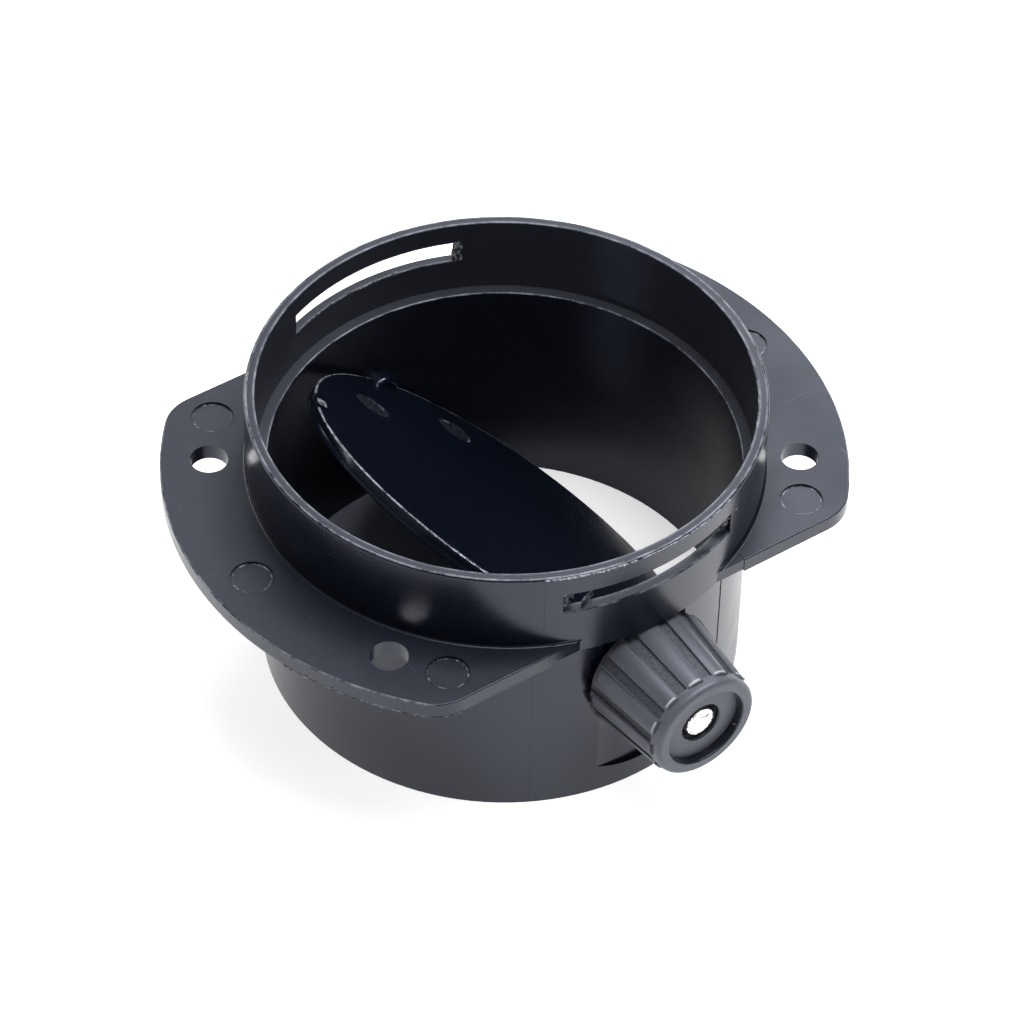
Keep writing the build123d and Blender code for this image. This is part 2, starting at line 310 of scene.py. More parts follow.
# %% Flow lines, dust and hairlines of the skin
FLOW_STRETCH = (70.0, 70.0, 900.0)
LONG_HAIR_STRETCH, LONG_HAIR_TURN = (60.0, 2600.0, 900.0), 0.5
SHORT_HAIR_STRETCH, SHORT_HAIR_TURN = (2600.0, 120.0, 900.0), 0.2
EVEN_RANGE = (0.3, 0.7)
DUST_RANGE = (0.72, 0.8)
HAIR_RANGE = (0.69, 0.76)


def streak_noise(group, place, stretch, turn=0.0):
    """Noise drawn out into lines by an uneven scale of the place."""
    lay = group.nodes.new("ShaderNodeMapping")
    lay.inputs["Rotation"].default_value = (0.0, 0.0, turn)
    lay.inputs["Scale"].default_value = stretch
    group.links.new(place, lay.inputs["Vector"])
    lines = add_node(group, "ShaderNodeTexNoise", Scale=1.0, Detail=3.0, Roughness=0.55)
    group.links.new(lay.outputs["Vector"], lines.inputs["Vector"])
    return lines.outputs["Fac"]


cloud = add_node(skin_group, "ShaderNodeTexNoise", Scale=70.0, Detail=5.0, Roughness=0.6)
skin_group.links.new(skin_in["Place"], cloud.inputs["Vector"])
flow = streak_noise(skin_group, skin_in["Place"], FLOW_STRETCH)
flow_mix = skin_group.nodes.new("ShaderNodeMix")
for socket, value in (("Factor", skin_in["Streaks"]), ("A", cloud.outputs["Fac"]), ("B", flow)):
    skin_group.links.new(value, flow_mix.inputs[socket])
even = ramp(skin_group, flow_mix.outputs["Result"], *EVEN_RANGE)
skin_group.links.new(even, skin_out["Evenness"])
specks = add_node(skin_group, "ShaderNodeTexNoise", Scale=1100.0, Detail=2.0, Roughness=0.7)
skin_group.links.new(skin_in["Place"], specks.inputs["Vector"])
skin_group.links.new(ramp(skin_group, specks.outputs["Fac"], *DUST_RANGE), skin_out["Dust"])
long_hairs = streak_noise(skin_group, skin_in["Place"], LONG_HAIR_STRETCH, LONG_HAIR_TURN)
short_hairs = streak_noise(skin_group, skin_in["Place"], SHORT_HAIR_STRETCH, SHORT_HAIR_TURN)
hairs = either(skin_group, long_hairs, short_hairs)
skin_group.links.new(ramp(skin_group, hairs, *HAIR_RANGE), skin_out["Hairlines"])
print("group", skin_group.name, "with", len(skin_group.nodes), "nodes")

# %% [markdown]
# ## Ejector pin marks
# Round pins push the part out of its mould and leave shallow round pits. The pits themselves
# are cut in the solids. Their floors look paler and rougher than the skin round them, because
# the pin ends are not polished. Round each floor runs a broken dark line of painted shade at
# the pit's edge, with a torn pale line of painted highlight inside it. The part is the same in
# all four corners, so the masks fold space with absolute values and measure the distance to
# one centre only.

# %% Pin floor
FLOOR_BLUR = 0.00005

pin_group, pin_in, pin_out = new_group(
    "pin_floor",
    [("Place", VECTOR, None), ("Across", NUMBER, 0.0), ("Along", NUMBER, 0.0),
     ("Radius", NUMBER, 0.004)],
    [("Floor", NUMBER), ("Dark Line", NUMBER), ("Pale Line", NUMBER)],
)
pin_place = split_xyz(pin_group, pin_in["Place"])
off_x = maths(pin_group, "SUBTRACT", maths(pin_group, "ABSOLUTE", pin_place["X"]), pin_in["Across"])
off_y = maths(pin_group, "SUBTRACT", maths(pin_group, "ABSOLUTE", pin_place["Y"]), pin_in["Along"])
inside = maths(pin_group, "SUBTRACT", pin_in["Radius"], distance(pin_group, off_x, off_y))
pin_group.links.new(ramp(pin_group, inside, -FLOOR_BLUR, FLOOR_BLUR), pin_out["Floor"])
print("group", pin_group.name, "takes", [socket.name for socket in pin_in][:4])

# %% Painted shade and highlight round the pin floor
SHADE_LINE_FADE = (0.00034, 0.0002)
SHADE_LINE_TORN = (0.6, 0.5)
HIGHLIGHT_LINE_IN = 0.0003
HIGHLIGHT_LINE_FADE = (0.0002, 0.0001)
HIGHLIGHT_LINE_TORN = (0.5, 0.6)


def near(tree, value, middle, fade):
    """Mask that is on close to a value and fades with the distance from it."""
    off = maths(tree, "ABSOLUTE", maths(tree, "SUBTRACT", value, middle))
    return ramp(tree, off, *fade)


torn = add_node(pin_group, "ShaderNodeTexNoise", Scale=520.0, Detail=4.0, Roughness=0.7)
pin_group.links.new(pin_in["Place"], torn.inputs["Vector"])
# Painted shade: a dark broken line at the pit's edge.
pit_shade = overlap(pin_group, near(pin_group, inside, 0.0, SHADE_LINE_FADE),
               ramp(pin_group, torn.outputs["Fac"], *SHADE_LINE_TORN))
pin_group.links.new(pit_shade, pin_out["Dark Line"])
# Painted highlight: a pale torn line just inside the pit's edge.
pit_highlight = overlap(pin_group, near(pin_group, inside, HIGHLIGHT_LINE_IN, HIGHLIGHT_LINE_FADE),
               ramp(pin_group, torn.outputs["Fac"], *HIGHLIGHT_LINE_TORN))
pin_group.links.new(pit_highlight, pin_out["Pale Line"])
print("group", pin_group.name, "with", len(pin_group.nodes), "nodes")

# %% [markdown]
# ## Painted edge highlights
# The bright lines that light draws on sharp moulded edges are painted into the colour, as a
# thin pale broken line. The group takes the distance from an edge and gives a mask that is on
# near the edge and torn by noise. A bevel shader node would find edges by itself, but it is
# slow and cannot be told which edges get the painted highlight.

# %% Painted edge highlight group
HIGHLIGHT_FADE = (1.0, 0.6)
HIGHLIGHT_PATCHES = (0.4, 0.6)

highlight_group, highlight_in, highlight_out = new_group(
    "painted_edge_highlight",
    [("Place", VECTOR, None), ("Away", NUMBER, 1.0), ("Width", NUMBER, 0.00025)],
    [("Mask", NUMBER)],
)
patchy = add_node(highlight_group, "ShaderNodeTexNoise", Scale=260.0, Detail=6.0, Roughness=0.75)
highlight_group.links.new(highlight_in["Place"], patchy.inputs["Vector"])
share = maths(highlight_group, "DIVIDE", highlight_in["Away"], highlight_in["Width"])
highlight_line = overlap(highlight_group, ramp(highlight_group, share, *HIGHLIGHT_FADE),
                    ramp(highlight_group, patchy.outputs["Fac"], *HIGHLIGHT_PATCHES))
highlight_group.links.new(highlight_line, highlight_out["Mask"])
print("group", highlight_group.name, "with", len(highlight_group.nodes), "nodes")

# %% [markdown]
# ## Plastic materials
# All three plastics share one recipe and differ in colour, gloss and in where they are rough.
# The light that the photograph shows on the black parts is a reflection, so the base colour
# is nearly black and the specular tint carries the slight blue. The skin's noise makes the
# gloss uneven, and a small bump gives the grain. One recipe as two functions is shorter than
# three trees, and it keeps the plastics alike.

# %% Plastic recipe
PLASTIC_IOR = 1.55
PALE_BLUE_TINT = (0.78, 0.84, 1.0, 1.0)
DUST_GREY = (0.07, 0.075, 0.09)


def new_material(name):
    """A material, its node tree and its shader."""
    made = bpy.data.materials.new(name)
    made.use_nodes = True
    return made, made.node_tree, made.node_tree.nodes["Principled BSDF"]


def start_plastic(name, grain_size, streaks):
    """A material with the skin group placed in it."""
    made, tree, shader = new_material(name)
    shader.inputs["IOR"].default_value = PLASTIC_IOR
    shader.inputs["Specular Tint"].default_value = PALE_BLUE_TINT
    place = tree.nodes.new("ShaderNodeTexCoord").outputs["Object"]
    skin = add_node(tree, "ShaderNodeGroup")
    skin.node_tree = skin_group
    skin.inputs["Grain Size"].default_value = grain_size
    skin.inputs["Streaks"].default_value = streaks
    tree.links.new(place, skin.inputs["Place"])
    return made, tree, shader, place, skin.outputs


def finish_plastic(tree, shader, skin, smooth, rough, painted_highlights, bump):
    """Join the smooth places (colour, gloss), the rough (mask, colour, gloss) and the painted
    highlights.
    """
    colour, gloss = smooth
    rough_mask, rough_colour, rough_gloss = rough
    highlight_places, highlight_colour = painted_highlights
    plain = blend_colours(tree, rough_mask, colour, rough_colour)
    dusty = blend_colours(tree, skin["Dust"], plain, DUST_GREY)
    # Painted highlights: pale lines mixed into the base colour.
    with_highlights = blend_colours(tree, highlight_places, dusty, highlight_colour)
    tree.links.new(with_highlights, shader.inputs["Base Color"])
    rough_part = ramp(tree, skin["Evenness"], 0.0, 1.0, *rough_gloss)
    step = tree.nodes.new("ShaderNodeMix")
    for socket, value in (("Factor", rough_mask), ("A", gloss), ("B", rough_part)):
        tree.links.new(value, step.inputs[socket])
    tree.links.new(step.outputs["Result"], shader.inputs["Roughness"])
    relief = add_node(tree, "ShaderNodeBump", Strength=1.0, Distance=bump)
    tree.links.new(skin["Height"], relief.inputs["Height"])
    tree.links.new(relief.outputs["Normal"], shader.inputs["Normal"])
    return relief


# %% [markdown]
# ## Plastic of the body
# The walls of the body are polished, the bore a little less. Faces that the mould maker only
# milled scatter more light: the flat tops, and the inside of the collar down to its shelf. The
# places are found by the direction of the face, the distance from the duct's axis and the
# height. Separate materials on picked faces would do it too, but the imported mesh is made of
# loose triangles, and a mask keeps the borders as sharp as the shape.

# %% Milled places of the body
COLLAR_INSIDE_R = 0.0462
BORE_OUT_R = 0.0436
SHELF_Z = 0.0449
BORDER = 0.0002
FLAT_FACING = (0.85, 0.97)

housing_plastic, tree, shader, place, skin = start_plastic(
    "housing_plastic", grain_size=1500.0, streaks=0.3)
wall_faces = tree.nodes.new("ShaderNodeNewGeometry").outputs["Normal"]
flat_top = ramp(tree, split_xyz(tree, wall_faces)["Z"], *FLAT_FACING)
at = split_xyz(tree, place)
from_axis = distance(tree, at["X"], at["Y"])
in_collar = overlap(tree, ramp(tree, from_axis, COLLAR_INSIDE_R, COLLAR_INSIDE_R - BORDER),
                    ramp(tree, at["Z"], SHELF_Z, SHELF_Z + BORDER))
in_bore = overlap(tree, ramp(tree, from_axis, BORE_OUT_R, BORE_OUT_R - BORDER),
                  ramp(tree, at["Z"], SHELF_Z, SHELF_Z - BORDER))
milled = either(tree, flat_top, in_collar)
print("milled: flat tops, and the collar above", SHELF_Z)

# %% Pin marks of the body
COLLAR_R = 0.0475
MARK_R = 0.0039
CORNER_MARK_AWAY, CORNER_MARK_ANGLE = COLLAR_R + 0.00716, radians(44.78)
MIDDLE_MARK_AWAY = COLLAR_R + 0.0074


def pin_marks(tree, place, across, along, radius):
    """Floors and torn outlines of the four pin marks at one distance from the middle."""
    made = tree.nodes.new("ShaderNodeGroup")
    made.node_tree = pin_group
    tree.links.new(place, made.inputs["Place"])
    for name, value in (("Across", across), ("Along", along), ("Radius", radius)):
        made.inputs[name].default_value = value
    return made.outputs


corner_pins = pin_marks(tree, place, CORNER_MARK_AWAY * cos(CORNER_MARK_ANGLE),
                        CORNER_MARK_AWAY * sin(CORNER_MARK_ANGLE), MARK_R)
middle_pins = pin_marks(tree, place, MIDDLE_MARK_AWAY, 0.0, MARK_R)
pin_floors, pit_shade_lines, pit_highlight_lines = (
    overlap(tree, flat_top, either(tree, corner_pins[part], middle_pins[part]))
    for part in ("Floor", "Dark Line", "Pale Line"))
print("pin marks at", round(CORNER_MARK_AWAY, 5), "and", round(MIDDLE_MARK_AWAY, 5))

# %% Colours of the milled places
MILLED_BLACK = (0.011, 0.014, 0.024)
PIN_GREY = (0.017, 0.02, 0.031)
PIT_SHADE_BLACK = (0.002, 0.003, 0.006)
COLLAR_GREY = (0.028, 0.032, 0.044)
SHELF_GREY = (0.04, 0.044, 0.056)
SCRATCH_GREY = (0.09, 0.095, 0.11)

milled_colour = blend_colours(tree, pin_floors, MILLED_BLACK, PIN_GREY)
# Painted shade: the dark line round each pin pit.
milled_colour = blend_colours(tree, pit_shade_lines, milled_colour, PIT_SHADE_BLACK)
collar_colour = blend_colours(tree, flat_top, COLLAR_GREY, SHELF_GREY)
milled_colour = blend_colours(tree, in_collar, milled_colour, collar_colour)
scratched = overlap(tree, skin["Hairlines"], flat_top)
milled_colour = blend_colours(tree, scratched, milled_colour, SCRATCH_GREY)
print("milled colour from", milled_colour.node.name)

# %% Painted edge highlights of the body
ROUND_EDGES = [(0.0471, 0.061), (0.04565, 0.061), (0.0434, 0.0451), (0.0629, 0.0442),
               (0.063, 0.0412)]
SILL_EDGES = [(0.04745, 0.0521), (0.0455, 0.0521), (0.0455, 0.0566)]
ROUND_EDGE_W, SILL_EDGE_W = 0.00026, 0.00032
WINDOW_HALF_X = 0.01825
WINDOW_BLUR = 0.0001


def edge_away(tree, radial, height, edges):
    """Distance to the nearest of some round edges, each given as radius and height."""
    nearest = None
    for edge_r, edge_z in edges:
        across = maths(tree, "SUBTRACT", radial, edge_r)
        away = distance(tree, across, maths(tree, "SUBTRACT", height, edge_z))
        nearest = away if nearest is None else maths(tree, "MINIMUM", nearest, away)
    return nearest


def edge_highlight_mask(tree, place, away, width):
    """Broken pale line of painted highlight where the distance is below a width."""
    made = tree.nodes.new("ShaderNodeGroup")
    made.node_tree = highlight_group
    tree.links.new(place, made.inputs["Place"])
    tree.links.new(away, made.inputs["Away"])
    made.inputs["Width"].default_value = width
    return made.outputs["Mask"]


# Painted highlights: pale broken lines on the rounded edges of rim, shelf and flange, on the window
# sills, and inside the pin pits.
round_away = edge_away(tree, from_axis, at["Z"], ROUND_EDGES)
sill_away = edge_away(tree, from_axis, at["Z"], SILL_EDGES)
at_window = ramp(tree, maths(tree, "ABSOLUTE", at["X"]), WINDOW_HALF_X + WINDOW_BLUR, WINDOW_HALF_X)
round_highlight = edge_highlight_mask(tree, place, round_away, ROUND_EDGE_W)
sill_highlight = overlap(tree, at_window, edge_highlight_mask(tree, place, sill_away, SILL_EDGE_W))
painted_highlights = either(tree, either(tree, round_highlight, sill_highlight), pit_highlight_lines)
print("worn edges:", len(ROUND_EDGES) + len(SILL_EDGES))

# %% Gloss of the body
PLASTIC_BLACK = (0.0042, 0.0066, 0.0145)
PAINTED_HIGHLIGHT_GREY = (0.27, 0.285, 0.34)
WALL_GLOSS, MILLED_GLOSS = (0.19, 0.30), (0.34, 0.50)
BORE_ROUGHER = 0.13
HOUSING_BUMP = 0.000012

wall_gloss = ramp(tree, skin["Evenness"], 0.0, 1.0, *WALL_GLOSS)
housing_gloss = maths(tree, "ADD", wall_gloss, maths(tree, "MULTIPLY", in_bore, BORE_ROUGHER))
housing_relief = finish_plastic(
    tree, shader, skin, (PLASTIC_BLACK, housing_gloss), (milled, milled_colour, MILLED_GLOSS),
    (painted_highlights, PAINTED_HIGHLIGHT_GREY), HOUSING_BUMP)
print("housing plastic with", len(tree.nodes), "nodes")

# %% [markdown]
# ## Truly round walls
# The solid's round walls come as flat strips, and where a wall's first strip meets its last one
# their shading does not join, which shows as a step in the reflection. Finer strips would not
# cure that. Where a wall faces straight away from the duct's axis, or straight at it, the
# material takes that direction as its normal.

# %% Wall normals from the axis
STRAIGHT_FACING = (0.985, 0.995)


def vector_maths(tree, operation, first, second=None, scale=None):
    """A vector maths node fed by sockets."""
    node = tree.nodes.new("ShaderNodeVectorMath")
    node.operation = operation
    tree.links.new(first, node.inputs[0])
    if second is not None:
        tree.links.new(second, node.inputs[1])
    if scale is not None:
        tree.links.new(scale, node.inputs["Scale"])
    return node.outputs


level = tree.nodes.new("ShaderNodeCombineXYZ")
for axis in "XY":
    tree.links.new(at[axis], level.inputs[axis])
outwards = vector_maths(tree, "NORMALIZE", level.outputs["Vector"])["Vector"]
along_radius = vector_maths(tree, "DOT_PRODUCT", wall_faces, outwards)["Value"]
straight = vector_maths(tree, "SCALE", outwards, scale=maths(tree, "SIGN", along_radius))["Vector"]
rounded = tree.nodes.new("ShaderNodeMix")
rounded.data_type = "VECTOR"
is_wall = ramp(tree, maths(tree, "ABSOLUTE", along_radius), *STRAIGHT_FACING)
tree.links.new(is_wall, rounded.inputs[0])
tree.links.new(wall_faces, rounded.inputs[4])
tree.links.new(straight, rounded.inputs[5])
tree.links.new(rounded.outputs[1], housing_relief.inputs["Normal"])
print("round walls take their normal from the axis:", housing_relief.inputs["Normal"].is_linked)

# %% [markdown]
# ## Plastic of the flap
# The flap has its own pin marks and a painted highlight along one edge, but it rests tilted in
# the duct. The marks could be given in tilted coordinates. It is easier to turn the place back
# by the tilt, so that the disc lies flat, and to use the same groups as on the body. The flap is
# the smoothest part.

# %% The flap laid flat
FLAP_TILT = radians(41.6)
FLAP_SHIFT = 0.0015
AXIS_Z = 0.029

flap_plastic, tree, shader, place, skin = start_plastic(
    "flap_plastic", grain_size=1500.0, streaks=0.2)
laid_flat = tree.nodes.new("ShaderNodeVectorRotate")
laid_flat.rotation_type = "Y_AXIS"
laid_flat.inputs["Center"].default_value = (0.0, 0.0, AXIS_Z)
laid_flat.inputs["Angle"].default_value = -FLAP_TILT
tree.links.new(place, laid_flat.inputs["Vector"])
centred = tree.nodes.new("ShaderNodeVectorMath")
centred.operation = "ADD"
centred.inputs[1].default_value = (FLAP_SHIFT, 0.0, 0.0)
tree.links.new(laid_flat.outputs["Vector"], centred.inputs[0])
flat_place = centred.outputs["Vector"]
print("flap turned back by", round(FLAP_TILT, 4), "rad")

# %% Marks and gloss of the flap
FLAP_MARK_AWAY, FLAP_MARK_ANGLE, FLAP_MARK_R = 0.0317, radians(66.6), 0.0037
FLAP_EDGES = [(0.04118, AXIS_Z + 0.00125)]
FLAP_EDGE_W = 0.0003
FLAP_PIN_GREY = (0.02, 0.023, 0.032)
FLAP_HIGHLIGHT_GREY = (0.36, 0.38, 0.44)
HAIR_SHARE = 0.35
MOTTLE_RANGE, MOTTLE_LEVEL = (0.4, 0.6), (0.3, 1.0)
FLAP_GLOSS, FLAP_ROUGH_GLOSS = (0.12, 0.20), (0.38, 0.55)
FLAP_BUMP = 0.00001

flap_pins = pin_marks(tree, flat_place, FLAP_MARK_AWAY * cos(FLAP_MARK_ANGLE),
                      FLAP_MARK_AWAY * sin(FLAP_MARK_ANGLE), FLAP_MARK_R)
lit_hairs = maths(tree, "MULTIPLY", skin["Hairlines"], HAIR_SHARE)
mottled = ramp(tree, skin["Height"], *MOTTLE_RANGE, *MOTTLE_LEVEL)
flap_rough = either(tree, overlap(tree, flap_pins["Floor"], mottled), lit_hairs)
at = split_xyz(tree, flat_place)
# Painted highlight: a pale broken line along the flap's upper edge, and the pale lines inside its
# pin pits.
flap_edges = edge_away(tree, distance(tree, at["X"], at["Y"]), at["Z"], FLAP_EDGES)
flap_highlights = either(tree, edge_highlight_mask(tree, place, flap_edges, FLAP_EDGE_W), flap_pins["Pale Line"])
flap_gloss = ramp(tree, skin["Evenness"], 0.0, 1.0, *FLAP_GLOSS)
finish_plastic(tree, shader, skin, (PLASTIC_BLACK, flap_gloss),
               (flap_rough, FLAP_PIN_GREY, FLAP_ROUGH_GLOSS),
               (flap_highlights, FLAP_HIGHLIGHT_GREY), FLAP_BUMP)
print("flap plastic with", len(tree.nodes), "nodes")

# %% [markdown]
# ## Plastic of the knob
# The knob is worn dull by fingers, so it is greyer and rougher than the rest. The grooves
# between its lobes are darker, mottled and matt. The shoulder at the end of each lobe gets a
# painted highlight on its upper side. The walls of the recess and of the pocket are painted
# near black as shade, and they kept their polish. The knob is round about the valve's axis, so
# all these places are found by the distance from that axis and by how far out along it they lie.

# %% Grooves of the knob
KNOB_BACK_Y = -0.0443
RING_Y = -0.0612
LOBE_BASE_R = 0.01235
LOBE_TAPER = 0.0016 / 0.0169
GROOVE_DEEP = (0.00025, 0.0004)
GROOVE_MOTTLE = (0.4, 0.6)
GROOVE_BLACK, GROOVE_GREY = (0.06, 0.065, 0.08), (0.12, 0.128, 0.152)

knob_plastic, tree, shader, place, skin = start_plastic(
    "knob_plastic", grain_size=2600.0, streaks=0.1)
at = split_xyz(tree, place)
up = maths(tree, "SUBTRACT", at["Z"], AXIS_Z)
knob_r = distance(tree, at["X"], up)
out_along = maths(tree, "SUBTRACT", KNOB_BACK_Y, at["Y"])
lobe_r = maths(tree, "SUBTRACT", LOBE_BASE_R, maths(tree, "MULTIPLY", out_along, LOBE_TAPER))
below_lobe = maths(tree, "SUBTRACT", lobe_r, knob_r)
in_groove = overlap(tree, ramp(tree, below_lobe, *GROOVE_DEEP),
                    ramp(tree, at["Y"], RING_Y, RING_Y + BORDER))
groove_colour = blend_colours(tree, ramp(tree, skin["Height"], *GROOVE_MOTTLE),
                              GROOVE_BLACK, GROOVE_GREY)
print("grooves lie", GROOVE_DEEP, "below the lobes")

# %% Painted highlights on the shoulders of the lobes
SHOULDER_Y = RING_Y + 0.0001
SHOULDER_FADE = (0.0003, 0.0001)
LOBE_PROUD = (-0.00012, -0.0002)
UPPER_SIDE = (-0.002, 0.003)

# Painted highlight: a pale dash on the upper side of each lobe's shoulder.
shoulder_highlight = near(tree, at["Y"], SHOULDER_Y, SHOULDER_FADE)
shoulder_highlight = overlap(tree, shoulder_highlight, ramp(tree, below_lobe, *LOBE_PROUD))
shoulder_highlight = overlap(tree, shoulder_highlight, ramp(tree, up, *UPPER_SIDE))
print("shoulders at y", round(SHOULDER_Y, 4))

# %% Recess and gloss of the knob
RECESS_R, RECESS_Y, RECESS_FADE = 0.00805, -0.0617, (0.0004, 0.0002)
POCKET_R, POCKET_FADE = 0.0039, (0.0005, 0.0003)
KNOB_GREY, RECESS_SHADE_BLACK = (0.14, 0.149, 0.176), (0.02, 0.022, 0.03)
SHOULDER_HIGHLIGHT_GREY = (0.62, 0.64, 0.7)
KNOB_GLOSS, GROOVE_GLOSS = (0.36, 0.5), (0.6, 0.75)
POLISH = 0.24
KNOB_BUMP = 0.00005

# Painted shade: the recess and pocket walls are near black. Their lower roughness is real polish.
recess_wall = overlap(tree, ramp(tree, at["Y"], RECESS_Y + BORDER, RECESS_Y),
                      near(tree, knob_r, RECESS_R, RECESS_FADE))
shade_and_polish = either(tree, recess_wall, near(tree, knob_r, POCKET_R, POCKET_FADE))
knob_colour = blend_colours(tree, shade_and_polish, KNOB_GREY, RECESS_SHADE_BLACK)
knob_gloss = maths(tree, "SUBTRACT", ramp(tree, skin["Evenness"], 0.0, 1.0, *KNOB_GLOSS),
                   maths(tree, "MULTIPLY", shade_and_polish, POLISH))
finish_plastic(tree, shader, skin, (knob_colour, knob_gloss),
               (in_groove, groove_colour, GROOVE_GLOSS), (shoulder_highlight, SHOULDER_HIGHLIGHT_GREY), KNOB_BUMP)
print("knob plastic with", len(tree.nodes), "nodes")

# %% [markdown]
# ## Rivet steel
# The rivet is bright zinc plated steel. Plating is slightly cloudy, so the roughness changes
# over a fine noise. A plain metal with one roughness would look like chrome.

# %% Rivet steel
ZINC_DARK, ZINC_PALE = (0.86, 0.86, 0.85), (0.97, 0.97, 0.96)
CLOUD_RANGE = (0.3, 0.7)
ZINC_GLOSS = (0.3, 0.55)


def cloudy(tree, scale, detail):
    """Noise on the object's own place."""
    cloud = add_node(tree, "ShaderNodeTexNoise", Scale=scale, Detail=detail)
    tree.links.new(tree.nodes.new("ShaderNodeTexCoord").outputs["Object"], cloud.inputs["Vector"])
    return cloud.outputs["Fac"]


steel, tree, shader = new_material("rivet_steel")
shader.inputs["Metallic"].default_value = 1.0
steel_cloud = cloudy(tree, scale=900.0, detail=3.0)
tree.links.new(blend_colours(tree, steel_cloud, ZINC_DARK, ZINC_PALE), shader.inputs["Base Color"])
tree.links.new(ramp(tree, steel_cloud, *CLOUD_RANGE, *ZINC_GLOSS), shader.inputs["Roughness"])
print(steel.name, "with", len(tree.nodes), "nodes")

# %% [markdown]
# ## Torn film
# Where the thin film along a mould edge is torn, the plastic is stretched and turns pale. The
# film pieces share this finish: a mottled grey that is paler than the body. An even pale grey
# would look like paper.

# %% Torn film plastic
FILM_DARK, FILM_PALE = (0.03, 0.034, 0.045), (0.42, 0.44, 0.5)
FILM_PALE_RANGE = (0.4, 0.65)
FILM_GLOSS = (0.25, 0.5)

film_plastic, tree, shader = new_material("film_plastic")
film_cloud = cloudy(tree, scale=1300.0, detail=2.0)
film_pale = ramp(tree, film_cloud, *FILM_PALE_RANGE)
tree.links.new(blend_colours(tree, film_pale, FILM_DARK, FILM_PALE), shader.inputs["Base Color"])
tree.links.new(ramp(tree, film_cloud, *CLOUD_RANGE, *FILM_GLOSS), shader.inputs["Roughness"])
print(film_plastic.name, "with", len(tree.nodes), "nodes")

# %% [markdown]
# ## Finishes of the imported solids
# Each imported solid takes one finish. Whatever material it came with is cleared first, so that
# the finish covers every face. The solids' meshes themselves are left as they are.

# %% Give the solids their finishes


def finish_with(node_name, material):
    """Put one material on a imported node."""
    slots = nodes[node_name].data.materials
    slots.clear()
    slots.append(material)


finish_with("housing", housing_plastic)
finish_with("flap", flap_plastic)
finish_with("knob", knob_plastic)
finish_with("rivet", steel)
print({name: obj.data.materials[0].name for name, obj in nodes.items()})

# %% [markdown]
# ## Seams of the mould
# Where two halves and two side slides of the mould met, a hairline of plastic stands on the
# wall. Real seams are only a few hundredths of a millimetre high, and they wander a little.
# Each seam is a thin bar that follows the wall, cut into many short lengths and shaken with a
# fixed seed. A bump line in the material would be lighter, but it would vanish at the edge of
# the wall, where the seam is seen best.

# %% Helpers for small pieces


def start_piece():
    """Leave nothing selected before a new primitive."""
    bpy.ops.object.select_all(action="DESELECT")


def pick_long_edges(piece, shortest):
    """Select the edges of the piece in edit mode that are longer than a length."""
    bpy.ops.mesh.select_mode(type="EDGE")
    bpy.ops.mesh.select_all(action="DESELECT")
    bpy.ops.object.mode_set(mode="OBJECT")
    corners = piece.data.vertices
    for edge in piece.data.edges:
        first, last = edge.vertices
        edge.select = (corners[first].co - corners[last].co).length > shortest
    bpy.ops.object.mode_set(mode="EDIT")


def settle(piece, name, body, material):
    """Put the place into the mesh, name the piece, and let it ride on a body."""
    bpy.ops.object.transform_apply(location=True, rotation=True, scale=True)
    piece.name = name
    piece.data.name = name
    piece.data.materials.clear()
    piece.data.materials.append(material)
    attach(piece, body)
    print(name, len(piece.data.polygons), "faces")


# %% Seam lines
SEAM_W = 0.0002
SEAM_PROUD = 0.0001
SEAM_CUTS = 60
SEAM_SHAKE = 0.00004
LONG_EDGE = 0.005
TUBE_R = 0.04485
ON_COLLAR = (COLLAR_R, 0.0446, 0.0606)
ON_TUBE = (TUBE_R, 0.0004, 0.0414)
# Name, place across, front or back, and the wall with its lower and upper end.
SEAMS = [
    ("seam_collar_left", -0.0211, -1, *ON_COLLAR),
    ("seam_collar_back_left", -0.0211, 1, *ON_COLLAR),
    ("seam_collar_back_right", 0.0211, 1, *ON_COLLAR),
    ("seam_tube_left", -0.0210, -1, *ON_TUBE),
    ("seam_tube_right", 0.0202, -1, *ON_TUBE),
    ("seam_tube_back_left", -0.0210, 1, *ON_TUBE),
    ("seam_tube_back_right", 0.0202, 1, *ON_TUBE),
]


def seam(name, x, side, radius, low, high, seed):
    """A thin wandering bar that stands on a round wall from one height to another."""
    start_piece()
    y = side * (radius * radius - x * x) ** 0.5
    turn = Vector((x, y)).angle_signed(Vector((1.0, 0.0)))
    bpy.ops.mesh.primitive_cube_add(size=1.0, location=(x, y, (low + high) / 2),
                                    rotation=(0.0, 0.0, turn))
    piece = bpy.context.object
    piece.scale = (2 * SEAM_PROUD, SEAM_W, high - low)
    bpy.ops.object.transform_apply(location=True, rotation=True, scale=True)
    bpy.ops.object.mode_set(mode="EDIT")
    pick_long_edges(piece, LONG_EDGE)
    bpy.ops.mesh.subdivide(number_cuts=SEAM_CUTS)
    bpy.ops.mesh.select_all(action="SELECT")
    bpy.ops.transform.vertex_random(offset=SEAM_SHAKE, seed=seed)
    bpy.ops.object.mode_set(mode="OBJECT")
    settle(piece, name, "body", housing_plastic)


for seed, row in enumerate(SEAMS):
    seam(*row, seed)

# %% [markdown]
# ## Flash on the edges
# Worn mould edges let a thin film of plastic squeeze out. It breaks off in short teeth that
# catch the light along the rim, the flange and the knob. A film is a strip drawn out of an arc
# of edge points by extrude and resize, shaken so that its free edge is torn, and given a thin
# wall with Solidify. Modelling it once as a function keeps each strip short to describe.

# %% How a torn strip is made
FILM_T = 0.00006
ARC_POINTS = 1080
TEAR = 0.5


